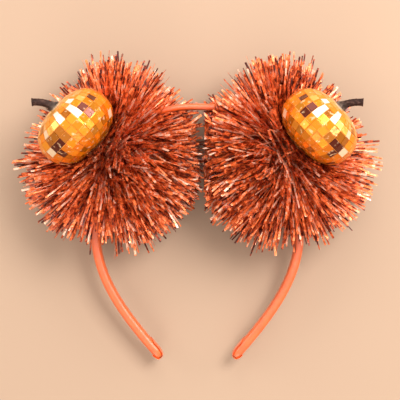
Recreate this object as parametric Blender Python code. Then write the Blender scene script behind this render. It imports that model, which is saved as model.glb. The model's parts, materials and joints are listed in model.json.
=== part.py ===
"""Headband lying on its back: a ribbon-covered springy band with two tinsel pompoms, each holding a
small mirror-tiled pumpkin.

Metres, +Z up, standing on z = 0, mirror plane X = 0, crown towards +Y, tips towards -Y.
The band is drawn in its own plane: u across, v towards the crown, n square to the plane.
"""
import math

import bmesh
import bpy
from mathutils import Matrix, Vector

# Band centreline
BAND_HALF_WIDTH = 0.0595  # widest point, from the mirror plane
BAND_RISE = 0.0730  # widest level up to the crown
BAND_LEG = 0.0735  # widest level down to the tips
CROWN_POWER = 2.35  # exponent of the crown's superellipse
TIP_HALF_GAP = 0.0220
TIP_LEAN = math.radians(41)  # the tips turn inwards by this much
LEG_PULL_TOP = 0.0270  # handles of the curve that draws each leg
LEG_PULL_TIP = 0.0330
BAND_PITCH = math.radians(6)  # the crown lies higher than the tips

# Springy strip and its ribbon
CORE_THICK = 0.0014
CORE_WIDTH = 0.0050
RIBBON_FIT = 0.0003  # strip to ribbon, each side
RIBBON_EDGE = 0.0008  # folded ribbon past the strip's edges
RIBBON_PAD_CROWN = 0.00085  # folded ribbon over the strip's faces, at the crown
RIBBON_PAD_LEG = 0.0017  # and down the legs
RIBBON_WIDTH = CORE_WIDTH + 2 * (RIBBON_FIT + RIBBON_EDGE)
RIBBON_THICK_CROWN = CORE_THICK + 2 * (RIBBON_FIT + RIBBON_PAD_CROWN)
RIBBON_THICK_LEG = CORE_THICK + 2 * (RIBBON_FIT + RIBBON_PAD_LEG)
RIBBON_CHAMFER = 0.0011
THICKEN_OVER = 0.0500  # the ribbon gets thicker over this length past the flex point
CORE_SETBACK = 0.0030  # strip's end inside the ribbon's end
TAB_LENGTH = 0.0120
TAB_RETURN = 0.0035  # the tab's short side, outside the tip
TAB_THICK = 0.0006
TAB_WIDTH = RIBBON_WIDTH - 2 * 0.0007  # a little in from the ribbon's edges

# Flex points, where each leg springs outwards
FLEX_ALONG = 0.0285  # from the crown's middle, along the centreline
KNUCKLE_GAP = 0.0003
RIBBON_SETBACK = 0.0008  # ribbon ends, each side of the flex point

# Ears
EAR_LEVEL = 0.0455  # the ear's place on the band, above the widest level
BAND_HEIGHT = 0.0220  # band centreline above the floor, at the ear
WIRE_RADIUS = 0.0007
WIRE_CLEAR = 0.0005  # wire to ribbon
WIRE_PITCH = 0.0068
WIRE_TURNS = 5
POMPOM_OUT = 0.0013  # pompom's middle outside the band
POMPOM_APART = 0.0070  # between the two pompoms, which sets their width
POMPOM_HALF_Y = 0.0510
POMPOM_HALF_Z = 0.0410
POMPOM_PRESSED = 0.0060  # pressed flat at the base by its own weight
POMPOM_MIDDLE_Z = POMPOM_HALF_Z - POMPOM_PRESSED
POMPOM_CLEAR = 0.0010  # foil to all it surrounds

# Pumpkins
PUMPKIN_HEADING = Vector((-0.485, 0.384, 0.785)).normalized()  # left pumpkin, from the band
GLUE_LENGTH = 0.0115  # wound wire to pumpkin
GLUE_RADIUS = 0.0060
GLUE_GAP = 0.0003
PUMPKIN_HALF_WIDTH = 0.0242
PUMPKIN_HALF_HEIGHT = 0.0163
PUMPKIN_POWER = 2.35
STEM_HEADING = math.radians(137)  # left stem's direction, seen from above
STEM_RISE = math.radians(6)
LOBES = 10
LOBE_DEPTH = 0.035  # valley depth as a share of the radius
TILE_ROWS = 11
TILE_THICK = 0.0009
TILE_GAP = 0.0003
CAP_RADIUS = 0.0063  # bare top and bottom, inside the last rows
PEG_RADIUS = 0.0015
PEG_LENGTH = 0.0060
PEG_FIT = 0.0003
STEM_BASE_RADIUS = CAP_RADIUS - 0.0016  # clear of the last row of tiles
STEM_NECK_RADIUS = 0.0021
STEM_END_RADIUS = 0.0018
STEM_STRAIGHT = 0.0050  # first stretch, in line with the pumpkin
STEM_REACH = Vector((-0.0130, 0.0032, 0.0022))  # left stem's end, from its base

LEG_SEGMENTS = 22
CROWN_SEGMENTS = 7  # odd, so that one facet lies square across the middle
SIDES = {"left": -1, "right": 1}

FINISHES = {  # colour, roughness, metallic
    "band_strip": ((0.75, 0.74, 0.70), 0.40, 0.0),
    "ribbon_satin": ((0.78, 0.16, 0.05), 0.45, 0.0),
    "garland_wire": ((0.32, 0.10, 0.06), 0.35, 0.9),
    "tinsel_foil": ((0.72, 0.20, 0.10), 0.30, 0.8),
    "hot_glue": ((0.85, 0.70, 0.50), 0.30, 0.0),
    "amber_mirror": ((0.90, 0.42, 0.06), 0.08, 1.0),
    "pumpkin_foam": ((0.55, 0.22, 0.05), 0.80, 0.0),
    "stem_bark": ((0.06, 0.035, 0.03), 0.60, 0.0),
}


# ---- curves -------------------------------------------------------------------------------------

def half_band(count=48):
    """Centreline from the crown's middle to a tip, as (u, v) with u positive."""
    points = []
    for i in range(count + 1):
        angle = math.pi / 2 * i / count
        u = BAND_HALF_WIDTH * math.sin(angle) ** (2 / CROWN_POWER)
        v = BAND_RISE * max(0.0, math.cos(angle)) ** (2 / CROWN_POWER)
        points.append(Vector((u, v)))
    points[-1].y = 0.0
    lean = Vector((-math.sin(TIP_LEAN), -math.cos(TIP_LEAN)))
    start = points[-1]
    tip = Vector((TIP_HALF_GAP, -BAND_LEG))
    near = start + Vector((0.0, -LEG_PULL_TOP))
    far = tip - lean * LEG_PULL_TIP
    for i in range(1, count + 1):
        t = i / count
        s = 1 - t
        points.append(start * s**3 + near * 3 * s * s * t + far * 3 * s * t * t + tip * t**3)
    return points


def path_length(points):
    return sum((b - a).length for a, b in zip(points, points[1:]))


def along(points, distance):
    """Point and unit direction at a distance along a polyline; runs straight on past both ends."""
    left = distance
    for i, (a, b) in enumerate(zip(points, points[1:])):
        step = (b - a).length
        if left <= step or i == len(points) - 2:
            direction = (b - a) / step
            return a + direction * left, direction
        left -= step


def level_distance(points, level):
    """Distance along the centreline at which it comes down to a level."""
    distance = 0.0
    for a, b in zip(points, points[1:]):
        if b.y <= level:
            return distance + (b - a).length * (a.y - level) / (a.y - b.y)
        distance += (b - a).length
    return distance


BAND = half_band()
BAND_LENGTH = path_length(BAND)
EAR_ALONG = level_distance(BAND, EAR_LEVEL)


def band_frame(distance, side):
    """Point, direction and outward normal on the band, in the band's plane."""
    point, direction = along(BAND, abs(distance))
    if distance < 0:
        point = Vector((-point.x, point.y))
        direction = Vector((direction.x, -direction.y))
    outward = Vector((-direction.y, direction.x))
    flip = Vector((side, 1))
    return (point * flip).to_3d(), (direction * flip).to_3d(), (outward * flip).to_3d()


# ---- the band's plane and the joints' places ------------------------------------------------------

def band_origin():
    """World place of the band plane's origin, with the whole object centred over Y = 0."""
    cosine = math.cos(BAND_PITCH)
    top = EAR_LEVEL * cosine + POMPOM_HALF_Y
    bottom = -(BAND_LEG + RIBBON_THICK_LEG / 2) * cosine
    height = BAND_HEIGHT - EAR_LEVEL * math.sin(BAND_PITCH)
    return Vector((0.0, -(top + bottom) / 2, height))


PLANE = Matrix.Translation(band_origin()) @ Matrix.Rotation(BAND_PITCH, 4, "X")


def ear_point(side):
    return PLANE @ band_frame(EAR_ALONG, side)[0]


def mirrored(vector, side):
    """A left-hand vector as it is on the given side."""
    return Vector((vector.x * -side, vector.y, vector.z))


def wire_helix_radius():
    """Wire centreline to band centreline, past the ribbon's corners."""
    corner = math.hypot(RIBBON_THICK_LEG / 2 - RIBBON_CHAMFER, RIBBON_WIDTH / 2)
    edge = math.hypot(RIBBON_THICK_LEG / 2, RIBBON_WIDTH / 2 - RIBBON_CHAMFER)
    return max(corner, edge) + WIRE_CLEAR + WIRE_RADIUS


def pumpkin_distance(axis, heading):
    """Band centreline to pumpkin's middle: wound wire, glue, then the pumpkin's own radius that way."""
    along_axis = abs(axis.dot(heading))
    off_axis = math.sqrt(1 - along_axis**2)
    power = PUMPKIN_POWER
    share = (off_axis / PUMPKIN_HALF_WIDTH) ** power + (along_axis / PUMPKIN_HALF_HEIGHT) ** power
    return wire_helix_radius() + WIRE_RADIUS + GLUE_LENGTH + share ** (-1 / power)


def pumpkin_matrix(side):
    """World frame of a pumpkin: +Z along its stem."""
    level = math.cos(STEM_RISE)
    axis = Vector((
        math.cos(STEM_HEADING) * level,
        math.sin(STEM_HEADING) * level,
        math.sin(STEM_RISE),
    ))
    axis = mirrored(axis, side)
    across = Vector((0.0, 0.0, 1.0)).cross(axis).normalized()
    front = across.cross(axis)
    turn = Matrix((front, across, axis)).transposed().to_4x4()
    heading = mirrored(PUMPKIN_HEADING, side)
    return Matrix.Translation(ear_point(side) + heading * pumpkin_distance(axis, heading)) @ turn


# ---- objects and materials --------------------------------------------------------------------------

def finish(name):
    made = bpy.data.materials.get(name)
    if made is None:
        color, roughness, metallic = FINISHES[name]
        made = bpy.data.materials.new(name)
        made.use_nodes = True
        shader = made.node_tree.nodes["Principled BSDF"]
        shader.inputs["Base Color"].default_value = (*color, 1.0)
        shader.inputs["Roughness"].default_value = roughness
        shader.inputs["Metallic"].default_value = metallic
    return made


def empty(name, matrix, parent=None):
    made = bpy.data.objects.new(name, None)
    made.empty_display_size = 0.01
    bpy.context.collection.objects.link(made)
    made.parent = parent
    made.matrix_basis = parent.matrix_world.inverted() @ matrix if parent else matrix
    bpy.context.view_layer.update()
    return made


def solid(name, vertices, faces, parent, material=None, smooth=30):
    """Closed mesh drawn in world coordinates, then hung on its empty."""
    mesh = bpy.data.meshes.new(name)
    shape = bmesh.new()
    corners = [shape.verts.new(v) for v in vertices]
    for face in faces:
        shape.faces.new([corners[i] for i in face])
    bmesh.ops.recalc_face_normals(shape, faces=shape.faces)
    if shape.calc_volume(signed=True) < 0:
        bmesh.ops.reverse_faces(shape, faces=shape.faces)
    shape.to_mesh(mesh)
    shape.free()
    mesh.transform(parent.matrix_world.inverted())
    mesh.shade_smooth()
    mesh.set_sharp_from_angle(angle=math.radians(smooth))
    made = bpy.data.objects.new(name, mesh)
    bpy.context.collection.objects.link(made)
    made.parent = parent
    if material:
        mesh.materials.append(material)
    return made


def cutter(name, vertices, faces, parent):
    made = solid(name, vertices, faces, parent)
    made.hide_render = True
    made.display_type = "WIRE"
    return made


def cut(target, tool):
    change = target.modifiers.new(tool.name, "BOOLEAN")
    change.operation = "DIFFERENCE"
    change.solver = "EXACT"
    change.object = tool


# ---- closed shapes from loops of corners ------------------------------------------------------------

def skin(loops, ring=False):
    """Vertices and faces through loops of equal count: end caps, or a closed ring of loops."""
    count = len(loops[0])
    vertices = [corner for loop in loops for corner in loop]
    faces = []
    pairs = list(zip(range(len(loops)), range(1, len(loops))))
    if ring:
        pairs.append((len(loops) - 1, 0))
    else:
        faces.append(tuple(reversed(range(count))))
        faces.append(tuple(range(len(vertices) - count, len(vertices))))
    for a, b in pairs:
        for i in range(count):
            j = (i + 1) % count
            faces.append((a * count + i, a * count + j, b * count + j, b * count + i))
    return vertices, faces


def chamfered(half_thick, half_width, chamfer):
    """Section corners as (outward, n)."""
    a = half_thick - chamfer
    b = half_width - chamfer
    quarter = [(half_thick, b), (a, half_width)]
    corners = list(quarter)
    corners += [(-x, y) for x, y in reversed(quarter)]
    corners += [(-x, -y) for x, y in quarter]
    corners += [(x, -y) for x, y in reversed(quarter)]
    return corners


def rectangle(half_thick, half_width):
    return [
        (half_thick, half_width),
        (-half_thick, half_width),
        (-half_thick, -half_width),
        (half_thick, -half_width),
    ]


def band_loop(distance, side, section):
    """A section's corners at a place on the band, in the world."""
    point, _, outward = band_frame(distance, side)
    normal = Vector((0.0, 0.0, 1.0))
    return [PLANE @ (point + outward * x + normal * y) for x, y in section]


def tube_loops(points, radius, sides):
    """Round loops along a polyline, without twist."""
    loops = []
    normal = None
    for i, point in enumerate(points):
        ahead = points[min(i + 1, len(points) - 1)]
        behind = points[max(i - 1, 0)]
        tangent = (ahead - behind).normalized()
        if normal is None:
            normal = tangent.orthogonal().normalized()
        normal = (normal - tangent * normal.dot(tangent)).normalized()
        across = tangent.cross(normal)
        angles = [2 * math.pi * k / sides for k in range(sides)]
        loops.append([point + (normal * math.cos(a) + across * math.sin(a)) * radius for a in angles])
    return loops


def hull(points):
    """Vertices and faces of the convex hull."""
    shape = bmesh.new()
    for point in points:
        shape.verts.new(point)
    found = bmesh.ops.convex_hull(shape, input=shape.verts)
    inside = [item for item in found["geom_interior"] if isinstance(item, bmesh.types.BMVert)]
    bmesh.ops.delete(shape, geom=inside, context="VERTS")
    shape.verts.index_update()
    vertices = [v.co.copy() for v in shape.verts]
    faces = [tuple(v.index for v in face.verts) for face in shape.faces]
    shape.free()
    return vertices, faces


def ball_points(matrix, half_x, half_z, power=2.0, around=20, levels=9):
    """Points of a spheroid about the matrix's Z axis, fuller as the power rises."""
    points = [matrix @ Vector((0, 0, half_z)), matrix @ Vector((0, 0, -half_z))]
    for level in range(1, levels):
        rise = math.pi * level / levels - math.pi / 2
        for k in range(around):
            turn = 2 * math.pi * k / around
            flat = half_x * math.cos(rise) ** (2 / power)
            points.append(matrix @ Vector((
                flat * math.cos(turn),
                flat * math.sin(turn),
                math.copysign(half_z * abs(math.sin(rise)) ** (2 / power), rise),
            )))
    return points


def raised(points, height):
    """The points and their copies straight above, whose hull is the swept shape."""
    return points + [point + Vector((0, 0, height)) for point in points]


# ---- band ---------------------------------------------------------------------------------------------

def spread(start, end, count):
    return [start + (end - start) * i / count for i in range(count + 1)]


def ribbon_half_thick(distance):
    """The ribbon is thin over the crown and thicker down the legs."""
    share = (abs(distance) - FLEX_ALONG) / THICKEN_OVER
    share = min(1.0, max(0.0, share))
    blend = share * share * (3 - 2 * share)
    return (RIBBON_THICK_CROWN + (RIBBON_THICK_LEG - RIBBON_THICK_CROWN) * blend) / 2


def crown_core(parent):
    """Strip between the flex points, its ends rounded about them."""
    radius = CORE_THICK / 2
    stations = [(d, radius) for d in spread(-FLEX_ALONG, FLEX_ALONG, CROWN_SEGMENTS)]
    for angle in (math.radians(35), math.radians(65)):
        reach = FLEX_ALONG + radius * math.sin(angle)
        half = radius * math.cos(angle)
        stations.insert(0, (-reach, half))
        stations.append((reach, half))
    loops = [band_loop(d, 1, rectangle(half, CORE_WIDTH / 2)) for d, half in stations]
    vertices, faces = skin(loops)
    return solid("band_core_crown", vertices, faces, parent, finish("band_strip"))


def leg_core(name, side, parent):
    start = FLEX_ALONG + CORE_THICK / 2 + KNUCKLE_GAP
    stations = spread(start, BAND_LENGTH - CORE_SETBACK, LEG_SEGMENTS)
    loops = [band_loop(d, side, rectangle(CORE_THICK / 2, CORE_WIDTH / 2)) for d in stations]
    vertices, faces = skin(loops)
    return solid(name, vertices, faces, parent, finish("band_strip"))


def ribbon(name, side, start, end, segments, parent):
    """Ribbon tube with the strip's channel through it."""
    channel = chamfered(CORE_THICK / 2 + RIBBON_FIT, CORE_WIDTH / 2 + RIBBON_FIT, RIBBON_FIT / 2)
    stations = spread(start, end, segments)
    outer = []
    for d in stations:
        outer.append(band_loop(d, side, chamfered(ribbon_half_thick(d), RIBBON_WIDTH / 2, RIBBON_CHAMFER)))
    inner = [band_loop(d, side, channel) for d in reversed(stations)]
    vertices, faces = skin(outer + inner, ring=True)
    return solid(name, vertices, faces, parent, finish("ribbon_satin"))


def ribbon_tab(name, side, parent):
    """Ribbon end folded over the tip: long side inside, short side outside."""
    near = RIBBON_THICK_LEG / 2 + KNUCKLE_GAP
    far = near + TAB_THICK
    end = BAND_LENGTH + KNUCKLE_GAP

    def at(distance, offset):
        point, _, outward = band_frame(distance, side)
        return point + outward * offset

    long_side = spread(BAND_LENGTH - TAB_LENGTH, end, 4)
    short_side = spread(BAND_LENGTH - TAB_RETURN, end, 2)
    shell = [at(d, -far) for d in long_side[:-1]]
    shell += [at(end + TAB_THICK, -far), at(end + TAB_THICK, far)]
    shell += [at(d, far) for d in reversed(short_side[:-1])]
    lining = [at(d, near) for d in short_side]
    lining += [at(d, -near) for d in reversed(long_side)]
    outline = shell + lining
    loops = []
    for half in (-TAB_WIDTH / 2, TAB_WIDTH / 2):
        loops.append([PLANE @ (point + Vector((0, 0, half))) for point in outline])
    vertices, faces = skin(loops)
    return solid(name, vertices, faces, parent, finish("ribbon_satin"))


# ---- ears ---------------------------------------------------------------------------------------------

def garland_wire(name, side, parent):
    """Core wire of the foil garland, wound round the band."""
    per_turn = 12
    steps = WIRE_TURNS * per_turn
    radius = wire_helix_radius()
    start = EAR_ALONG - WIRE_TURNS * WIRE_PITCH / 2
    points = []
    for i in range(steps + 1):
        turn = 2 * math.pi * i / per_turn
        point, _, outward = band_frame(start + WIRE_PITCH * i / per_turn, side)
        normal = Vector((0.0, 0.0, 1.0))
        points.append(PLANE @ (point + (outward * math.cos(turn) + normal * math.sin(turn)) * radius))
    vertices, faces = skin(tube_loops(points, WIRE_RADIUS, 5))
    return solid(name, vertices, faces, parent, finish("garland_wire"))


def pompom_ball(name, side, parent):
    """Ball of foil with a flat base."""
    around = 28
    middle = ear_point(side) + Vector((side * POMPOM_OUT, 0.0, 0.0))
    half_x = abs(middle.x) - POMPOM_APART / 2
    levels = [-math.asin(POMPOM_MIDDLE_Z / POMPOM_HALF_Z)]
    levels += [math.radians(a) for a in (-40, -20, 0, 20, 40, 58, 74)]
    loops = []
    for rise in levels:
        flat = math.cos(rise)
        z = POMPOM_MIDDLE_Z + POMPOM_HALF_Z * math.sin(rise)
        loop = []
        for k in range(around):
            turn = 2 * math.pi * (k + 0.5) / around
            loop.append(Vector((
                middle.x + half_x * flat * math.cos(turn),
                middle.y + POMPOM_HALF_Y * flat * math.sin(turn),
                z,
            )))
        loops.append(loop)
    for corner in loops[0]:
        corner.z = 0.0
    vertices, faces = skin(loops)
    return solid(name, vertices, faces, parent, finish("tinsel_foil"))


def tunnel_radius(sides):
    """Corner radius of the tunnel for the wound wire, measured to clear it at the flats."""
    return (wire_helix_radius() + WIRE_RADIUS + POMPOM_CLEAR) / math.cos(math.pi / sides)


def band_tunnel(name, side, parent):
    sides = 10
    radius = tunnel_radius(sides)
    angles = [2 * math.pi * (k + 0.5) / sides for k in range(sides)]
    section = [(radius * math.cos(a), radius * math.sin(a)) for a in angles]
    start = FLEX_ALONG - 0.004
    end = level_distance(BAND, EAR_LEVEL - POMPOM_HALF_Y - 3 * radius)
    loops = [band_loop(d, side, section) for d in spread(start, end, 14)]
    vertices, faces = skin(loops)
    return cutter(name, vertices, faces, parent)


def crown_slot(name, side, parent):
    """Room above the crown, which rises through the foil as the leg opens."""
    half = RIBBON_WIDTH / 2 + POMPOM_CLEAR
    below = RIBBON_THICK_CROWN / 2 + POMPOM_CLEAR
    top = BAND_RISE + POMPOM_HALF_Y
    outline = []
    for d in spread(-FLEX_ALONG / 3, FLEX_ALONG + 0.003, 4):
        point, _, outward = band_frame(d, side)
        outline.append(point - outward * below)
    outline.append(Vector((outline[-1].x, top, 0.0)))
    outline.append(Vector((outline[0].x, top, 0.0)))
    loops = [[PLANE @ (point + Vector((0, 0, n))) for point in outline] for n in (-half, half)]
    vertices, faces = skin(loops)
    return cutter(name, vertices, faces, parent)


def pumpkin_points(side, room, around, levels):
    """Points of a pumpkin's outer shape, grown by some room."""
    width = PUMPKIN_HALF_WIDTH + room
    height = PUMPKIN_HALF_HEIGHT + room
    return ball_points(pumpkin_matrix(side), width, height, PUMPKIN_POWER, around, levels)


def pumpkin_pocket(name, side, parent):
    """The pumpkin's nest in the foil, open upwards."""
    room = POMPOM_CLEAR + 0.0005
    points = pumpkin_points(side, room, around=20, levels=9)
    vertices, faces = hull(raised(points, 2 * POMPOM_HALF_Z))
    return cutter(name, vertices, faces, parent)


def stem_slot(name, side, parent):
    room = STEM_NECK_RADIUS + 1.5 * POMPOM_CLEAR
    points = []
    for point in stem_line(side):
        points += ball_points(Matrix.Translation(point), room, room, around=8, levels=4)
    vertices, faces = hull(raised(points, 2 * POMPOM_HALF_Z))
    return cutter(name, vertices, faces, parent)


def glue_column(side, radius, start, sides):
    """Round column from near the band up to the pumpkin's middle."""
    foot = ear_point(side)
    middle = pumpkin_matrix(side).translation
    heading = (middle - foot).normalized()
    return skin(tube_loops([foot + heading * start, middle], radius, sides))


def glue_bed(name, side, parent):
    """Glue between the wound wire and the pumpkin, hollowed by the pumpkin's own shape."""
    start = wire_helix_radius() + WIRE_RADIUS + GLUE_GAP
    vertices, faces = glue_column(side, GLUE_RADIUS, start, 14)
    bed = solid(name, vertices, faces, parent, finish("hot_glue"))
    vertices, faces = hull(pumpkin_points(side, 2 * GLUE_GAP, around=30, levels=16))
    cut(bed, cutter(name + "_seat", vertices, faces, parent))
    return bed


def pompom(name, side, parent):
    ball = pompom_ball(name, side, parent)
    cut(ball, band_tunnel(name + "_tunnel", side, parent))
    cut(ball, crown_slot(name + "_slot", side, parent))
    cut(ball, pumpkin_pocket(name + "_pocket", side, parent))
    cut(ball, stem_slot(name + "_stem_slot", side, parent))
    vertices, faces = glue_column(side, GLUE_RADIUS + POMPOM_CLEAR, 0.0, 14)
    cut(ball, cutter(name + "_glue_way", vertices, faces, parent))
    return ball


# ---- pumpkins -------------------------------------------------------------------------------------------

def pumpkin_profile(count=60):
    """(radius, height) from the equator to the pole."""
    points = []
    for i in range(count + 1):
        angle = math.pi / 2 * i / count
        radius = PUMPKIN_HALF_WIDTH * max(0.0, math.cos(angle)) ** (2 / PUMPKIN_POWER)
        height = PUMPKIN_HALF_HEIGHT * math.sin(angle) ** (2 / PUMPKIN_POWER)
        points.append(Vector((radius, height)))
    return points


def cap_arc(profile):
    """Length along the profile at which the bare cap begins."""
    distance = 0.0
    for a, b in zip(profile, profile[1:]):
        if b.x <= CAP_RADIUS:
            return distance + (b - a).length * (a.x - CAP_RADIUS) / (a.x - b.x)
        distance += (b - a).length
    return distance


PROFILE = pumpkin_profile()
ROW_PITCH = 2 * cap_arc(PROFILE) / TILE_ROWS


def profile_point(arc, inset):
    """(radius, height) at a signed length from the equator, moved inwards square to the surface."""
    point, direction = along(PROFILE, abs(arc))
    normal = Vector((direction.y, -direction.x))
    point = point - normal * inset
    return Vector((point.x, math.copysign(point.y, arc) if arc else 0.0))


def lobed_loop(matrix, radius, height):
    """One loop round a pumpkin, with a corner on each lobe's crest and in each valley."""
    loop = []
    for k in range(2 * LOBES):
        turn = math.pi * k / LOBES
        scale = 1.0 - LOBE_DEPTH if k % 2 else 1.0
        loop.append(matrix @ Vector((
            radius * scale * math.cos(turn),
            radius * scale * math.sin(turn),
            height,
        )))
    return loop


def tile_row(name, index, side, parent):
    """One row of mirror tiles on its backing, as a closed ring."""
    matrix = pumpkin_matrix(side)
    low = (index - TILE_ROWS / 2) * ROW_PITCH + TILE_GAP / 2
    high = low + ROW_PITCH - TILE_GAP
    loops = []
    for arc, inset in ((low, 0.0), (high, 0.0), (high, TILE_THICK), (low, TILE_THICK)):
        point = profile_point(arc, inset)
        loops.append(lobed_loop(matrix, point.x, point.y))
    vertices, faces = skin(loops, ring=True)
    return solid(name, vertices, faces, parent, finish("amber_mirror"), 5)


def core_inset():
    return TILE_THICK + TILE_GAP


def core_end_height():
    """Height of the core's flat top, where the stem seats."""
    return profile_point(TILE_ROWS / 2 * ROW_PITCH, core_inset()).y


def pumpkin_core(name, side, parent):
    """Solid body under the tiles, with a blind hole for the stem's peg."""
    matrix = pumpkin_matrix(side)
    loops = []
    for k in range(TILE_ROWS + 1):
        point = profile_point((k - TILE_ROWS / 2) * ROW_PITCH, core_inset())
        loops.append(lobed_loop(matrix, point.x, point.y))
    top = core_end_height()
    radius = PEG_RADIUS + PEG_FIT
    for height in (top, top - PEG_LENGTH - PEG_FIT):
        loops.append(round_loop(matrix, Vector((0, 0, height)), Vector((0, 0, 1)), radius, 2 * LOBES))
    vertices, faces = skin(loops)
    return solid(name, vertices, faces, parent, finish("pumpkin_foam"))


def round_loop(matrix, centre, direction, radius, sides):
    """Circle about a direction, both in the pumpkin's own frame."""
    across = Vector((0, 1, 0)).cross(direction).normalized()
    up = direction.cross(across)
    loop = []
    for k in range(sides):
        turn = 2 * math.pi * k / sides
        loop.append(matrix @ (centre + (across * math.cos(turn) + up * math.sin(turn)) * radius))
    return loop


def stem_curve(side, count):
    """Stem centreline in the pumpkin's own frame: leaves along +Z, then bends outwards."""
    turn_back = pumpkin_matrix(side).to_3x3().inverted()
    base = Vector((0, 0, core_end_height() + PEG_FIT))
    knee = base + Vector((0, 0, STEM_STRAIGHT))
    end = base + turn_back @ mirrored(STEM_REACH, side)
    points = []
    for i in range(count + 1):
        t = i / count
        points.append(base * (1 - t) ** 2 + knee * 2 * t * (1 - t) + end * t * t)
    return points


def stem_line(side):
    """Stem centreline in the world."""
    return [pumpkin_matrix(side) @ point for point in stem_curve(side, 6)]


def stem(name, side, parent):
    """Bent stem with a flared foot and a peg that holds it in the core."""
    sides = 10
    matrix = pumpkin_matrix(side)
    points = stem_curve(side, 6)
    up = Vector((0, 0, 1))
    base = points[0]
    loops = [round_loop(matrix, base - up * PEG_LENGTH, up, PEG_RADIUS, sides)]
    loops.append(round_loop(matrix, base, up, PEG_RADIUS, sides))
    for i, point in enumerate(points):
        ahead = points[min(i + 1, len(points) - 1)]
        behind = points[max(i - 1, 0)]
        direction = up if i == 0 else (ahead - behind).normalized()
        share = i / (len(points) - 1)
        flare = (STEM_BASE_RADIUS - STEM_NECK_RADIUS) * (1 - share) ** 5
        radius = STEM_NECK_RADIUS + (STEM_END_RADIUS - STEM_NECK_RADIUS) * share + flare
        loops.append(round_loop(matrix, point, direction, radius, sides))
    vertices, faces = skin(loops)
    return solid(name, vertices, faces, parent, finish("stem_bark"))


# ---- assembly ----------------------------------------------------------------------------------------------

def flex_point(side):
    return PLANE @ band_frame(FLEX_ALONG, side)[0]


def clear_scene():
    for old in list(bpy.data.objects):
        bpy.data.objects.remove(old, do_unlink=True)


def build_leg(word, side, band_plane):
    turn = PLANE.to_3x3().to_4x4()
    hinge = empty(f"flex_{word}", Matrix.Translation(flex_point(side)) @ turn, band_plane)
    leg_core(f"band_core_{word}", side, hinge)
    start = FLEX_ALONG + RIBBON_SETBACK
    ribbon(f"ribbon_{word}", side, start, BAND_LENGTH, LEG_SEGMENTS, hinge)
    ribbon_tab(f"ribbon_tab_{word}", side, hinge)
    ear = empty(f"ear_{word}", Matrix.Translation(ear_point(side)), hinge)
    garland_wire(f"garland_wire_{word}", side, ear)
    pompom(f"tinsel_pompom_{word}", side, ear)
    glue_bed(f"glue_bed_{word}", side, ear)
    gourd = empty(f"pumpkin_{word}", pumpkin_matrix(side), ear)
    pumpkin_core(f"pumpkin_core_{word}", side, gourd)
    for index in range(TILE_ROWS):
        tile_row(f"tile_row_{index + 1:02d}_{word}", index, side, gourd)
    stem(f"stem_{word}", side, gourd)


def build():
    clear_scene()
    band_plane = empty("band_plane", PLANE)
    crown_core(band_plane)
    end = FLEX_ALONG - RIBBON_SETBACK
    ribbon("ribbon_crown", 1, -end, end, CROWN_SEGMENTS, band_plane)
    for word, side in SIDES.items():
        build_leg(word, side, band_plane)


build()
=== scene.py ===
import json
import math

import bmesh
import bpy
import numpy as np
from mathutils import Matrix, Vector


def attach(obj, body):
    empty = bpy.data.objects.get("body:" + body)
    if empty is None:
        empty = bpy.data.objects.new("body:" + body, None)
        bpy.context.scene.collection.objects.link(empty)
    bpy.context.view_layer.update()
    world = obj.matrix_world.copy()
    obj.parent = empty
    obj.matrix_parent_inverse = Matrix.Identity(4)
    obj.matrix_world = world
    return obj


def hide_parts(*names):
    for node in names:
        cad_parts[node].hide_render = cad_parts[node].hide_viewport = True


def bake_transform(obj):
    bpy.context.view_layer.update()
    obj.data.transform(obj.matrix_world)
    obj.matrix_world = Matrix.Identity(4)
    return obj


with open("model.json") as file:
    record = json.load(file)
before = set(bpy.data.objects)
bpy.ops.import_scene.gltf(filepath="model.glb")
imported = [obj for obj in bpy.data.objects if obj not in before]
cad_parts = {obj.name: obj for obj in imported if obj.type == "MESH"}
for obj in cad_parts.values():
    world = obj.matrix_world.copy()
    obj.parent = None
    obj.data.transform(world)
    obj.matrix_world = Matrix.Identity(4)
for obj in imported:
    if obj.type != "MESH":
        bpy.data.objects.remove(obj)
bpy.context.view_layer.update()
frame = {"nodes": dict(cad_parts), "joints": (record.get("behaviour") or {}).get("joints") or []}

cadNodes = frame["nodes"]
sides = {"left": -1, "right": 1}
print("frame loaded,", len(cadNodes), "nodes")


# Places read from the frame.

def unit(vectors):
    return vectors / np.maximum(np.linalg.norm(vectors, axis=-1, keepdims=True), 1e-12)


def nodePoints(name):
    mesh = cadNodes[name].data
    points = np.empty(len(mesh.vertices) * 3)
    mesh.vertices.foreach_get("co", points)
    return np.unique(points.reshape(-1, 3).round(6), axis=0)


def stationsOf(name, direction):
    # middles of a strip's cross-sections, in order along a direction
    points = nodePoints(name)
    reach = points @ direction
    order = np.argsort(reach)
    splits = np.nonzero(np.diff(reach[order]) > 0.0018)[0] + 1
    return [group.mean(axis=0) for group in np.split(points[order], splits)]


joints = {joint["child"]: joint for joint in frame["joints"]}
bandNormal = np.array(joints["left_leg"]["axis"])
bandNormal = bandNormal * np.sign(bandNormal[2])
crownward = np.cross(bandNormal, (1.0, 0.0, 0.0))


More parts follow.
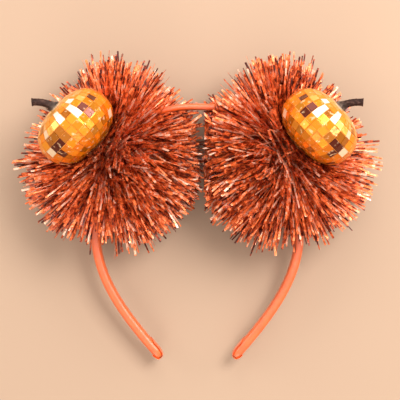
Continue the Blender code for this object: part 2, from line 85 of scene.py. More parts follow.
def readBandLine(word):
    # the strip's centreline from the crown's middle to past the tip, and its lengths
    side = sides[word]
    crown = [p for p in stationsOf("band_core_crown", np.array((side, 0.0, 0.0)))]
    flexAcross = abs(joints[word + "_leg"]["pos_m"][0])
    crown = [p for p in crown if side * p[0] < flexAcross - 0.003]
    knots = np.array(crown + stationsOf("band_core_" + word, -crownward))
    chord = np.concatenate(([0.0], np.cumsum(np.linalg.norm(np.diff(knots, axis=0), axis=1))))
    slopes = np.gradient(knots, chord, axis=0)
    fine = np.linspace(0.0, chord[-1], 600)
    which = np.clip(np.searchsorted(chord, fine, side="right") - 1, 0, len(chord) - 2)
    span = (chord[which + 1] - chord[which])[:, None]
    t = (fine[:, None] - chord[which][:, None]) / span
    line = (2 * t**3 - 3 * t**2 + 1) * knots[which] + (t**3 - 2 * t**2 + t) * span * slopes[which]
    line += (3 * t**2 - 2 * t**3) * knots[which + 1] + (t**3 - t**2) * span * slopes[which + 1]
    line = line[side * line[:, 0] > 0.0]
    first = line[0].copy()
    first[0] = 0.0
    end = line[-1] + unit(line[-1] - line[-2]) * 0.01
    line = np.vstack((first, line, end))
    lengths = np.concatenate(([0.0], np.cumsum(np.linalg.norm(np.diff(line, axis=0), axis=1))))
    return line, lengths


bandLines = {word: readBandLine(word) for word in sides}


def onBand(word, distance):
    # points, directions towards the tip and outward normals at distances from the crown's middle
    line, lengths = bandLines[word]
    distance = np.atleast_1d(np.asarray(distance, float))
    step = 0.0006
    before, here, after = (
        np.stack([np.interp(distance + shift, lengths, line[:, k]) for k in range(3)], axis=1)
        for shift in (-step, 0, step))
    tangent = unit(after - before)
    outward = unit(np.cross(tangent, bandNormal)) * -sides[word]
    return here, tangent, outward


def alongBand(word, point):
    line, lengths = bandLines[word]
    return lengths[np.argmin(np.linalg.norm(line - point, axis=1))]


def tipLength(word):
    line, lengths = bandLines[word]
    direction = unit(line[-1] - line[-2])
    return lengths[-1] + ((nodePoints("ribbon_" + word) - line[-1]) @ direction).max()


def readPumpkin(word):
    # matrix with Z along the stem and X up, the outer corners of each row of tiles, and the stem's line
    middle = nodePoints(f"tile_row_06_{word}").mean(axis=0)
    top = nodePoints(f"tile_row_11_{word}").mean(axis=0)
    axis = unit(top - middle)
    up = unit(np.array((0.0, 0.0, 1.0)) - axis * axis[2])
    turn = np.array((up, np.cross(axis, up), axis)).T
    rows = []
    for index in range(1, 12):
        local = (nodePoints(f"tile_row_{index:02d}_{word}") - middle) @ turn
        crest = local[np.abs(np.arctan2(local[:, 1], local[:, 0])) < 0.1]
        corners = np.stack((np.hypot(crest[:, 0], crest[:, 1]), crest[:, 2]), axis=1)
        # across the row's thickness, outwards
        through = np.linalg.svd(corners - corners.mean(axis=0))[2][1]
        through = through * np.sign(through @ corners.mean(axis=0))
        outer = corners[np.argsort(-corners @ through)[:2]]
        rows.append(outer[np.argsort(outer[:, 1])])
    stem = (nodePoints("stem_" + word) - middle) @ turn
    end = stem[np.argsort(-np.linalg.norm(stem, axis=1))[:10]].mean(axis=0)
    halfWidth = max(corners[:, 0].max() for corners in rows)
    halfHeight = max(corners[:, 1].max() for corners in rows)
    sizes = (halfWidth, halfWidth, halfHeight)
    return {"middle": middle, "turn": turn, "rows": rows, "stemEnd": end, "sizes": sizes}


pumpkins = {word: readPumpkin(word) for word in sides}
earPoints = {}
for word in sides:
    wire = nodePoints("garland_wire_" + word).mean(axis=0)
    earPoints[word] = onBand(word, alongBand(word, wire))[0][0]
print("band length", round(tipLength("left") * 1000, 1), "mm, ear", earPoints["left"].round(4))


# Helpers for meshes and nodes.

def deselectAll():
    if bpy.context.object and bpy.context.object.mode != "OBJECT":
        bpy.ops.object.mode_set(mode="OBJECT")
    bpy.ops.object.select_all(action="DESELECT")


def named(name):
    piece = bpy.context.object
    piece.name = name
    piece.data.name = name
    return piece


def coordinates(mesh):
    values = np.empty(len(mesh.vertices) * 3)
    mesh.vertices.foreach_get("co", values)
    return values.reshape(-1, 3)


def setCoordinates(mesh, values):
    mesh.vertices.foreach_set("co", np.asarray(values, np.float32).ravel())
    mesh.update()


def bakePlace(piece):
    deselectAll()
    piece.select_set(True)
    bpy.context.view_layer.objects.active = piece
    bpy.ops.object.transform_apply(location=True, rotation=True, scale=True)


def applyModifiers(piece):
    deselectAll()
    piece.select_set(True)
    bpy.context.view_layer.objects.active = piece
    for modifier in list(piece.modifiers):
        bpy.ops.object.modifier_apply(modifier=modifier.name)


def smoothByAngle(piece, degrees):
    deselectAll()
    piece.select_set(True)
    bpy.context.view_layer.objects.active = piece
    bpy.ops.object.shade_smooth_by_angle(angle=math.radians(degrees))


def faceOutwards(piece):
    deselectAll()
    piece.select_set(True)
    bpy.context.view_layer.objects.active = piece
    bpy.ops.object.mode_set(mode="EDIT")
    bpy.ops.mesh.select_all(action="SELECT")
    bpy.ops.mesh.normals_make_consistent(inside=False)
    bpy.ops.object.mode_set(mode="OBJECT")


def repeated(name, template, placed, tones):
    # one mesh of many copies of a template; placed is (copies, template corners, 3)
    copies, corners = placed.shape[:2]
    faces = [np.array(polygon.vertices) for polygon in template.polygons]
    sizes = np.array([len(face) for face in faces])
    flat = np.concatenate(faces)
    loops = (flat[None, :] + corners * np.arange(copies)[:, None]).ravel()
    totals = np.tile(sizes, copies)
    mesh = bpy.data.meshes.new(name)
    mesh.vertices.add(copies * corners)
    mesh.vertices.foreach_set("co", placed.astype(np.float32).ravel())
    mesh.loops.add(len(loops))
    mesh.loops.foreach_set("vertex_index", loops.astype(np.int32))
    mesh.polygons.add(len(totals))
    mesh.polygons.foreach_set("loop_start", np.concatenate(([0], np.cumsum(totals)[:-1])).astype(np.int32))
    mesh.update(calc_edges=True)
    tone = mesh.attributes.new("tone", "FLOAT", "POINT")
    tones = np.repeat(tones, corners) if tones.ndim == 1 else tones.ravel()
    tone.data.foreach_set("value", tones.astype(np.float32))
    piece = bpy.data.objects.new(name, mesh)
    bpy.context.scene.collection.objects.link(piece)
    return piece


def finish(piece, material):
    piece.data.materials.clear()
    piece.data.materials.append(material)


def addNode(tree, kind, **settings):
    node = tree.nodes.new(kind)
    for name, value in settings.items():
        setattr(node, name, value)
    return node


def rampNode(tree, fac, stops):
    ramp = addNode(tree, "ShaderNodeValToRGB")
    elements = ramp.color_ramp.elements
    while len(elements) < len(stops):
        elements.new(0.5)
    for element, (place, color) in zip(elements, stops):
        element.position = place
        element.color = (*color, 1.0)
    tree.links.new(fac, ramp.inputs["Fac"])
    return ramp.outputs["Color"]


# Camera, floor and light.

cameraSetup = {"place": (0.00145, 0.00843, 0.870), "lens": 131.6, "sensor": 36.0}
floorSetup = {"size": 6.0, "below": 0.0002, "color": (0.400, 0.276, 0.195), "roughness": 0.8}
lampSetup = {  # place, size, watts
    "key": ((0.50, 0.42, 0.95), 0.52, 12.5),
    "overhead": ((-0.10, -0.05, 1.75), 2.80, 14.0),
    "back": ((0.0, 0.98, 0.64), 0.75, 6.0),
    "leftBank": ((-1.05, 0.45, 0.45), 0.70, 5.0),
    "rightBank": ((1.05, 0.50, 0.40), 0.70, 5.0),
    "front": ((-0.15, -1.10, 0.80), 0.60, 3.8),
}


def addCamera():
    bpy.ops.object.camera_add(location=cameraSetup["place"], rotation=(0.0, 0.0, 0.0))
    camera = bpy.context.object
    camera.data.sensor_width = cameraSetup["sensor"]
    camera.data.lens = cameraSetup["lens"]
    camera.data.clip_start = 0.01
    bpy.context.scene.camera = camera


def addLamps():
    for name, (place, size, watts) in lampSetup.items():
        aim = (Vector((0.0, 0.0, 0.03)) - Vector(place)).to_track_quat("-Z", "Y").to_euler()
        bpy.ops.object.light_add(type="AREA", location=place, rotation=aim)
        lamp = bpy.context.object
        lamp.name = name
        lamp.data.shape = "SQUARE"
        lamp.data.size = size
        lamp.data.energy = watts
        lamp.data.color = (1.0, 0.97, 0.93)
    world = bpy.data.worlds.new("studio")
    bpy.context.scene.world = world
    world.use_nodes = True
    background = world.node_tree.nodes["Background"]
    background.inputs["Color"].default_value = (1.0, 0.90, 0.80, 1.0)
    background.inputs["Strength"].default_value = 0.78
    bpy.context.scene.view_settings.view_transform = "Standard"


# Shared effects, as node groups.

def mottleGroup():
    group = bpy.data.node_groups.new("mottle", "ShaderNodeTree")
    face = group.interface
    face.new_socket("Scale", in_out="INPUT", socket_type="NodeSocketFloat").default_value = 200.0
    face.new_socket("Stretch", in_out="INPUT", socket_type="NodeSocketVector").default_value = (1.0, 1.0, 1.0)
    face.new_socket("Low", in_out="INPUT", socket_type="NodeSocketFloat").default_value = 0.0
    face.new_socket("High", in_out="INPUT", socket_type="NodeSocketFloat").default_value = 1.0
    face.new_socket("Value", in_out="OUTPUT", socket_type="NodeSocketFloat")
    into = group.nodes.new("NodeGroupInput")
    out = group.nodes.new("NodeGroupOutput")
    place = group.nodes.new("ShaderNodeTexCoord")
    scaled = addNode(group, "ShaderNodeVectorMath", operation="MULTIPLY")
    noise = addNode(group, "ShaderNodeTexNoise", noise_dimensions="3D")
    noise.inputs["Detail"].default_value = 4.0
    span = addNode(group, "ShaderNodeMapRange", clamp=True)
    span.inputs["From Min"].default_value = 0.3
    span.inputs["From Max"].default_value = 0.7
    group.links.new(place.outputs["Object"], scaled.inputs[0])
    group.links.new(into.outputs["Stretch"], scaled.inputs[1])
    group.links.new(scaled.outputs["Vector"], noise.inputs["Vector"])
    group.links.new(into.outputs["Scale"], noise.inputs["Scale"])
    group.links.new(noise.outputs["Fac"], span.inputs["Value"])
    group.links.new(into.outputs["Low"], span.inputs["To Min"])
    group.links.new(into.outputs["High"], span.inputs["To Max"])
    group.links.new(span.outputs["Result"], out.inputs["Value"])
    return group


def weaveGroup():
    # fine ribs across a ribbon, from its own UV map in metres
    group = bpy.data.node_groups.new("satinWeave", "ShaderNodeTree")
    face = group.interface
    face.new_socket("Along", in_out="INPUT", socket_type="NodeSocketFloat").default_value = 600.0
    face.new_socket("Across", in_out="INPUT", socket_type="NodeSocketFloat").default_value = 80.0
    face.new_socket("Height", in_out="OUTPUT", socket_type="NodeSocketFloat")
    into = group.nodes.new("NodeGroupInput")
    out = group.nodes.new("NodeGroupOutput")
    chart = group.nodes.new("ShaderNodeUVMap")
    split = group.nodes.new("ShaderNodeSeparateXYZ")
    group.links.new(chart.outputs["UV"], split.inputs["Vector"])
    waves = []
    for socket, axis in (("Along", "X"), ("Across", "Y")):
        turn = addNode(group, "ShaderNodeMath", operation="MULTIPLY")
        wave = addNode(group, "ShaderNodeMath", operation="SINE")
        group.links.new(split.outputs[axis], turn.inputs[0])
        group.links.new(into.outputs[socket], turn.inputs[1])
        group.links.new(turn.outputs["Value"], wave.inputs[0])
        waves.append(wave.outputs["Value"])
    both = addNode(group, "ShaderNodeMath", operation="MULTIPLY")
    group.links.new(waves[0], both.inputs[0])
    group.links.new(waves[1], both.inputs[1])
    group.links.new(both.outputs["Value"], out.inputs["Height"])
    return group


mottle = mottleGroup()
weave = weaveGroup()


def placeGroup(tree, group, **values):
    node = addNode(tree, "ShaderNodeGroup", node_tree=group)
    for name, value in values.items():
        node.inputs[name].default_value = value
    return node.outputs[0]


def newMaterial(name, **sockets):
    material = bpy.data.materials.new(name)
    material.use_nodes = True
    shader = material.node_tree.nodes["Principled BSDF"]
    for socket, value in sockets.items():
        shader.inputs[socket.replace("_", " ")].default_value = value
    return material, material.node_tree, shader


def addBump(tree, shader, height, strength, distance):
    bump = addNode(tree, "ShaderNodeBump")
    bump.inputs["Strength"].default_value = strength
    bump.inputs["Distance"].default_value = distance
    tree.links.new(height, bump.inputs["Height"])
    tree.links.new(bump.outputs["Normal"], shader.inputs["Normal"])


def satinMaterial():
    material, tree, shader = newMaterial(
        "ribbonSatin", Roughness=0.32, Anisotropic=0.5, Specular_IOR_Level=0.8,
        Sheen_Weight=0.2, Sheen_Roughness=0.35,
        Sheen_Tint=(1.0, 0.55, 0.35, 1.0), Coat_Weight=0.6, Coat_Roughness=0.30)
    shade = placeGroup(tree, mottle, Scale=260.0, Low=0.0, High=1.0)
    color = rampNode(tree, shade, [(0.0, (0.70, 0.088, 0.008)), (1.0, (0.80, 0.120, 0.014))])
    tree.links.new(color, shader.inputs["Base Color"])
    rough = placeGroup(tree, mottle, Scale=900.0, Low=0.30, High=0.42)
    tree.links.new(rough, shader.inputs["Roughness"])
    addBump(tree, shader, placeGroup(tree, weave, Along=9000.0, Across=9000.0), 0.25, 0.00005)
    return material


def foilMaterial():
    material, tree, shader = newMaterial(
        "tinselFoil", Metallic=0.5, Roughness=0.3, Coat_Weight=0.22, Coat_Roughness=0.18)
    tone = addNode(tree, "ShaderNodeAttribute", attribute_name="tone")
    # painted highlights and shade: patches along a strip made lighter or darker in colour, standing in for
    # the light its creases catch
    paintedGlint = placeGroup(tree, mottle, Scale=300.0, Low=-0.46, High=0.46)
    shade = addNode(tree, "ShaderNodeMath", operation="ADD")
    tree.links.new(tone.outputs["Fac"], shade.inputs[0])
    tree.links.new(paintedGlint, shade.inputs[1])
    # painted light: the ramp runs from shaded maroon through coral to a pale pink painted highlight
    color = rampNode(tree, shade.outputs["Value"], [
        (0.0, (0.07, 0.006, 0.002)), (0.25, (0.42, 0.055, 0.011)), (0.55, (0.98, 0.200, 0.046)),
        (0.8, (1.0, 0.330, 0.145)), (1.0, (1.0, 0.62, 0.46))])
    tree.links.new(color, shader.inputs["Base Color"])
    rough = placeGroup(tree, mottle, Scale=700.0, Low=0.20, High=0.42)
    tree.links.new(rough, shader.inputs["Roughness"])
    addBump(tree, shader, placeGroup(tree, mottle, Scale=1400.0), 0.35, 0.0002)
    return material


def mirrorMaterial():
    material, tree, shader = newMaterial(
        "amberMirror", Metallic=0.45, Roughness=0.08, Specular_IOR_Level=0.3,
        Coat_Weight=0.2, Coat_Roughness=0.05)
    tone = addNode(tree, "ShaderNodeAttribute", attribute_name="tone")
    # painted reflections: the tone runs from tiles that show dark reflections to pale ones that mirror the
    # lamps
    color = rampNode(tree, tone.outputs["Fac"], [
        (0.0, (0.07, 0.004, 0.002)), (0.2, (0.25, 0.055, 0.003)), (0.32, (0.50, 0.165, 0.004)),
        (0.42, (0.76, 0.165, 0.002)), (0.6, (0.80, 0.235, 0.004)),
        (0.78, (0.80, 0.300, 0.022)), (0.9, (0.84, 0.45, 0.11)), (1.0, (0.90, 0.86, 0.76))])
    # painted reflections: slashes of pale colour, as if from the foil about them, mixed into the tiles'
    # colour
    reflectionSlash = placeGroup(tree, mottle, Scale=330.0, Stretch=(1.0, 1.0, 2.6), Low=-2.9, High=0.9)
    lit = addNode(tree, "ShaderNodeMix", data_type="RGBA")
    lit.inputs["B"].default_value = (0.86, 0.58, 0.33, 1.0)
    tree.links.new(reflectionSlash, lit.inputs["Factor"])
    tree.links.new(color, lit.inputs["A"])
    tree.links.new(lit.outputs["Result"], shader.inputs["Base Color"])
    rough = placeGroup(tree, mottle, Scale=300.0, Low=0.06, High=0.16)
    tree.links.new(rough, shader.inputs["Roughness"])
    addBump(tree, shader, placeGroup(tree, mottle, Scale=420.0), 0.16, 0.0004)
    return material


def groutMaterial():
    material, tree, shader = newMaterial("amberGrout", Roughness=0.35, Metallic=0.35, Coat_Weight=0.3)
    shade = placeGroup(tree, mottle, Scale=500.0)
    color = rampNode(tree, shade, [(0.0, (0.60, 0.15, 0.008)), (1.0, (0.85, 0.34, 0.05))])
    tree.links.new(color, shader.inputs["Base Color"])
    rough = placeGroup(tree, mottle, Scale=900.0, Low=0.25, High=0.55)
    tree.links.new(rough, shader.inputs["Roughness"])
    addBump(tree, shader, placeGroup(tree, mottle, Scale=900.0), 0.4, 0.0003)
    return material


def stemMaterial():
    material, tree, shader = newMaterial("stemBark", Roughness=0.6, Specular_IOR_Level=0.14)
    shade = placeGroup(tree, mottle, Scale=600.0)
    dark = rampNode(tree, shade, [
        (0.0, (0.014, 0.006, 0.005)), (0.6, (0.034, 0.014, 0.011)), (1.0, (0.095, 0.050, 0.038))])
    pale = rampNode(tree, shade, [(0.0, (0.045, 0.030, 0.024)), (1.0, (0.20, 0.150, 0.120))])
    foot = addNode(tree, "ShaderNodeAttribute", attribute_name="tone")
    both = addNode(tree, "ShaderNodeMix", data_type="RGBA")
    tree.links.new(foot.outputs["Fac"], both.inputs["Factor"])
    tree.links.new(dark, both.inputs["A"])
    tree.links.new(pale, both.inputs["B"])
    tree.links.new(both.outputs["Result"], shader.inputs["Base Color"])
    rough = placeGroup(tree, mottle, Scale=1100.0, Low=0.38, High=0.7)
    tree.links.new(rough, shader.inputs["Roughness"])
    addBump(tree, shader, placeGroup(tree, mottle, Scale=1500.0), 0.5, 0.0003)
    return material


def stripMaterial():
    material, tree, shader = newMaterial("springStrip", Metallic=0.9, Roughness=0.35)
    shade = placeGroup(tree, mottle, Scale=300.0)
    color = rampNode(tree, shade, [(0.0, (0.52, 0.50, 0.47)), (1.0, (0.72, 0.70, 0.66))])
    tree.links.new(color, shader.inputs["Base Color"])
    rough = placeGroup(tree, mottle, Scale=800.0, Low=0.28, High=0.45)
    tree.links.new(rough, shader.inputs["Roughness"])
    return material


def wireMaterial():
    material, tree, shader = newMaterial("garlandWire", Metallic=0.95, Roughness=0.35)
    shade = placeGroup(tree, mottle, Scale=500.0)
    color = rampNode(tree, shade, [(0.0, (0.16, 0.04, 0.025)), (1.0, (0.36, 0.12, 0.07))])
    tree.links.new(color, shader.inputs["Base Color"])
    rough = placeGroup(tree, mottle, Scale=900.0, Low=0.25, High=0.5)
    tree.links.new(rough, shader.inputs["Roughness"])
    return material


def glueMaterial():
    material, tree, shader = newMaterial("hotGlue", Roughness=0.22, Transmission_Weight=0.35, Coat_Weight=0.4)
    shade = placeGroup(tree, mottle, Scale=350.0)
    color = rampNode(tree, shade, [(0.0, (0.46, 0.17, 0.07)), (1.0, (0.72, 0.36, 0.18))])
    tree.links.new(color, shader.inputs["Base Color"])
    rough = placeGroup(tree, mottle, Scale=600.0, Low=0.15, High=0.35)
    tree.links.new(rough, shader.inputs["Roughness"])
    return material


def floorMaterial():
    material, tree, shader = newMaterial("paleFloor", Roughness=floorSetup["roughness"])
    shade = placeGroup(tree, mottle, Scale=4.0)
    low = tuple(0.985 * c for c in floorSetup["color"])
    color = rampNode(tree, shade, [(0.0, low), (1.0, floorSetup["color"])])
    tree.links.new(color, shader.inputs["Base Color"])
    return material


addCamera()
addLamps()
satin = satinMaterial()
foil = foilMaterial()
mirror = mirrorMaterial()
grout = groutMaterial()
bark = stemMaterial()
strip = stripMaterial()
wireMetal = wireMaterial()
glue = glueMaterial()


def addFloor():
    bpy.ops.mesh.primitive_plane_add(size=floorSetup["size"], location=(0.0, 0.0, -floorSetup["below"]))
    floor = named("studioFloor")
    finish(floor, floorMaterial())


addFloor()
print("camera, light and materials ready")


# Ribbon: one length of satin wrapped round each half of the strip, its seam on the inner face.

ribbonSetup = {
    "thickCrown": 0.0037, "thickLeg": 0.0054, "width": 0.0072, "thickenOver": 0.050,
    "roundness": 2.7, "lap": 0.0022, "cloth": 0.00022, "pucker": 0.00007,
    "puckerRate": 1450, "puckerDrift": 310, "lapLift": 0.00026, "tipDrawn": 0.34, "tipRound": 0.0040,
    "along": 190, "around": 44, "blendReach": 0.011, "cut": (0.0225, 0.192),
}


def ribbonHalfThick(distance, flexAlong):
    share = np.clip((distance - flexAlong) / ribbonSetup["thickenOver"], 0.0, 1.0)
    share = share * share * (3 - 2 * share)
    return (ribbonSetup["thickCrown"] + (ribbonSetup["thickLeg"] - ribbonSetup["thickCrown"]) * share) / 2


def tipTaper(distance, length):
    # how far the ribbon is drawn in towards its end
    rounding = np.sqrt(np.clip((length - distance) / ribbonSetup["tipRound"], 0, 1))
    return 1 - ribbonSetup["tipDrawn"] * (1 - rounding)


def sectionAround(turns, halfThick, halfWidth):
    # rounded oblong; turns in radians from the outer face
    power = 2 / ribbonSetup["roundness"]
    across = np.sign(np.cos(turns)) * np.abs(np.cos(turns)) ** power * halfThick
    wide = np.sign(np.sin(turns)) * np.abs(np.sin(turns)) ** power * halfWidth
    return across, wide


def addRibbon(word):
    name = "satinRibbon_" + word
    along, around = ribbonSetup["along"], ribbonSetup["around"]
    length = tipLength(word)
    flex = np.array(joints[word + "_leg"]["pos_m"])
    flexAlong = alongBand(word, flex)
    deselectAll()
    bpy.ops.mesh.primitive_grid_add(x_subdivisions=along, y_subdivisions=around, size=1.0)
    ribbon = named(name)
    mesh = ribbon.data
    local = coordinates(mesh)
    distance = (local[:, 0] + 0.5) * length
    wrap = local[:, 1] + 0.5
    lapTurn = ribbonSetup["lap"] / ribbonSetup["width"] * 1.2
    turns = math.pi - lapTurn / 2 + wrap * (2 * math.pi + lapTurn)
    point, _, outward = onBand(word, distance)
    drift = 0.9 * np.sin(distance * ribbonSetup["puckerDrift"])
    pucker = ribbonSetup["pucker"] * np.sin(distance * ribbonSetup["puckerRate"] + drift)
    pucker = pucker * np.clip(-np.cos(turns), 0, 1)
    lift = ribbonSetup["lapLift"] * np.clip((wrap - 0.9) / 0.1, 0, 1)
    grow = tipTaper(distance, length)
    halfThick = (ribbonHalfThick(distance, flexAlong) + pucker + lift) * grow
    halfWidth = (ribbonSetup["width"] / 2 + lift) * grow
    across, wide = sectionAround(turns, halfThick, halfWidth)
    setCoordinates(mesh, point + outward * across[:, None] + bandNormal * wide[:, None])
    faceOutwards(ribbon)
    if outwardShare(ribbon) < 0:
        mesh.flip_normals()
    thicken = ribbon.modifiers.new("cloth", "SOLIDIFY")
    thicken.thickness = ribbonSetup["cloth"]
    thicken.offset = -1.0
    applyModifiers(ribbon)
    smoothByAngle(ribbon, 50)
    finish(ribbon, satin)
    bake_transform(ribbon)
    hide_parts("ribbon_crown", "ribbon_" + word)


def outwardShare(piece):
    # above 0 when the faces look away from the band's line
    mesh = piece.data
    word = "left" if piece.name.endswith("left") else "right"
    line = bandLines[word][0]
    total = 0.0
    for polygon in list(mesh.polygons)[::37]:
        nearest = line[np.argmin(np.linalg.norm(line - np.array(polygon.center), axis=1))]
        total += float(np.dot(np.array(polygon.normal), np.array(polygon.center) - nearest))
    return total


for word in sides:
    addRibbon(word)
print("ribbons wrapped")


# Ribbon ends folded over the tips.

tabSetup = {
    "long": 0.0120, "short": 0.0035, "width": 0.0058, "cloth": 0.00022, "ply": 0.0003, "gap": 0.0003,
    "slant": 0.0028, "wave": 0.00008, "waveRate": 1500, "cut": (0.0125, 0.0205),
}


def addTab(word):
    length = tipLength(word)
    flexAlong = alongBand(word, np.array(joints[word + "_leg"]["pos_m"]))
    near = float(ribbonHalfThick(np.array([length]), flexAlong)[0]) + tabSetup["gap"]
    # the path round the tip as (distance along the band, offset outwards)
    end = near * float(tipTaper(length, length))
    path = [(length - tabSetup["long"] * (1 - i / 12), -near) for i in range(12)]
    path += [(length + math.sin(a) * end * 0.5, -math.cos(a) * end) for a in np.linspace(0, math.pi, 9)]
    path += [(length - (i + 1) * tabSetup["short"] / 4, near) for i in range(4)]
    path = np.array(path)
    straight = path[:, 0] < length
    path[straight, 1] *= tipTaper(path[straight, 0], length)
    deselectAll()
    bpy.ops.mesh.primitive_grid_add(x_subdivisions=len(path) - 1, y_subdivisions=22, size=1.0)
    tab = named("ribbonTab_" + word)
    local = coordinates(tab.data)
    place = np.rint((local[:, 0] + 0.5) * (len(path) - 1)).astype(int)
    fold = (local[:, 1] + 0.5) * 2
    # two plies: across one way on the outside, round the fold, and back underneath
    ply = np.clip((fold - 0.9) / 0.2, 0, 1)
    wide = np.where(fold < 1, fold, 2 - fold) * tabSetup["width"] - tabSetup["width"] / 2
    wide = np.minimum(wide, tabSetup["width"] / 2 - 0.0001 * np.abs(ply - 0.5))
    slant = np.clip(1 - place / 6, 0, 1) * (wide / tabSetup["width"] + 0.5) * tabSetup["slant"]
    step = np.gradient(path, axis=0)
    normal = unit(np.stack((-step[:, 1], step[:, 0]), axis=1))
    lift = (1 - ply) * tabSetup["ply"]
    spot = path[place] + normal[place] * lift[:, None]
    spot[:, 0] += slant
    point, _, outward = onBand(word, spot[:, 0])
    wave = tabSetup["wave"] * np.sin(spot[:, 0] * tabSetup["waveRate"]) * (1 - ply)
    setCoordinates(tab.data, point + outward * (spot[:, 1] + wave)[:, None] + bandNormal * wide[:, None])
    faceOutwards(tab)
    thicken = tab.modifiers.new("cloth", "SOLIDIFY")
    thicken.thickness = tabSetup["cloth"]
    thicken.offset = 0.0
    applyModifiers(tab)
    smoothByAngle(tab, 50)
    finish(tab, satin)
    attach(tab, word + "_leg")
    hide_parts("ribbon_tab_" + word)


for word in sides:
    addTab(word)
print("tabs folded")


# Twisted core wire of the tinsel garland, wound round the band.

wireSetup = {
    "radius": 0.00036, "apart": 0.00036, "twistPitch": 0.0024, "turns": 5, "pitch": 0.0068, "perTurn": 40,
}


def helixPoints(word, perTurn):
    # centreline of the wound wire and the way out from the band
    wireNode = nodePoints("garland_wire_" + word)
    line = bandLines[word][0]
    away = np.linalg.norm(wireNode[:, None, :] - line[None, ::4, :], axis=2).min(axis=1)
    radius = (away.min() + away.max()) / 2
    middle = alongBand(word, earPoints[word])
    count = wireSetup["turns"] * perTurn
    steps = np.arange(count + 1) / perTurn
    point, _, outward = onBand(word, middle + (steps - wireSetup["turns"] / 2) * wireSetup["pitch"])
    turn = 2 * math.pi * steps
    out = outward * np.cos(turn)[:, None] + bandNormal * np.sin(turn)[:, None]
    return point + out * radius, out


def addWire(word):
    strands = []
    centre, out = helixPoints(word, wireSetup["perTurn"])
    along = unit(np.gradient(centre, axis=0))
    across = unit(np.cross(along, out))
    lengths = np.concatenate(([0.0], np.cumsum(np.linalg.norm(np.diff(centre, axis=0), axis=1))))
    for start in (0.0, math.pi):
        turn = lengths / wireSetup["twistPitch"] * 2 * math.pi + start
        path = centre + (out * np.cos(turn)[:, None] + across * np.sin(turn)[:, None]) * wireSetup["apart"]
        curve = bpy.data.curves.new("wireStrand", "CURVE")
        curve.dimensions = "3D"
        curve.bevel_depth = wireSetup["radius"]
        curve.bevel_resolution = 2
        curve.use_fill_caps = True
        spline = curve.splines.new("POLY")
        spline.points.add(len(path) - 1)
        spline.points.foreach_set("co", np.hstack((path, np.ones((len(path), 1)))).ravel())
        strand = bpy.data.objects.new("wireStrand", curve)
        bpy.context.scene.collection.objects.link(strand)
        strands.append(strand)
    deselectAll()
    for strand in strands:
        strand.select_set(True)
    bpy.context.view_layer.objects.active = strands[0]
    bpy.ops.object.convert(target="MESH")
    bpy.ops.object.join()
    wire = named("twistedWire_" + word)
    smoothByAngle(wire, 60)
    finish(wire, wireMetal)
    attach(wire, word + "_leg")
    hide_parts("garland_wire_" + word)


for word in sides:
    addWire(word)
print("wires wound")


# Pumpkin: lobed body, eleven rows of mirror tiles, fluted stem.

pumpkinSetup = {
    "lobes": 10, "depth": 0.038, "turn": math.radians(5.6), "bodyInset": 0.00038, "roughness": 0.00006,
    "tileThick": 0.0009, "tileGap": 0.00034, "rowGap": 0.00004, "tilt": 0.030,
    "reflectionSpread": 0.090, "randomReflectionShare": 0.05, "randomReflectionTones": (0.08, 0.3, 0.95),
}
tilesPerLobe = (1, 2, 3, 3, 3, 3, 3, 3, 3, 2, 1)  # from the bottom row to the stem
# painted light: each row's tile tone, paler towards the stem where the tiles face the lamps overhead, darker
# towards the bottom
rowAmberAndPaintedLight = (0.32, 0.32, 0.36, 0.42, 0.46, 0.50, 0.58, 0.76, 0.82, 0.84, 0.84)
# painted reflections: a few tiles are coloured pale, brown or dark for the reflections they show, as (row,
# tile from the facing lobe's first)
paintedReflectionTones = {"pale": 0.98, "brown": 0.26, "dark": 0.03}
paintedReflectionTiles = {
    "pale": ((7, 2), (8, 0), (8, 2)),
    "brown": ((8, 1), (7, -3), (7, -2), (7, -1), (6, -1), (4, 4)),
    "dark": ((7, 3), (6, 3), (6, -2), (6, -3), (5, -3)),
}
paintedReflectionAt = {place: paintedReflectionTones[kind] for kind, places in paintedReflectionTiles.items() for place in places}


def lobeScale(angle):
    valley = 0.5 - 0.5 * np.cos(pumpkinSetup["lobes"] * angle)
    return 1 - pumpkinSetup["depth"] * valley ** 1.3


def toWorld(word, local):
    pumpkin = pumpkins[word]
    return local @ pumpkin["turn"].T + pumpkin["middle"]


def tileTemplate():
    # a square of mirror glass with ground edges, on a unit cell with its back at 0
    deselectAll()
    bpy.ops.mesh.primitive_cube_add(size=1.0, location=(0.0, 0.0, 0.5))
    tile = named("tileTemplate")
    bakePlace(tile)
    bpy.ops.object.mode_set(mode="EDIT")
    bpy.ops.mesh.select_all(action="DESELECT")
    shape = bmesh.from_edit_mesh(tile.data)
    for edge in shape.edges:
        edge.select = all(vertex.co.z > 0.9 for vertex in edge.verts)
    bmesh.update_edit_mesh(tile.data)
    bpy.ops.mesh.bevel(offset=0.055, segments=1, affect="EDGES")
    bpy.ops.object.mode_set(mode="OBJECT")
    return tile


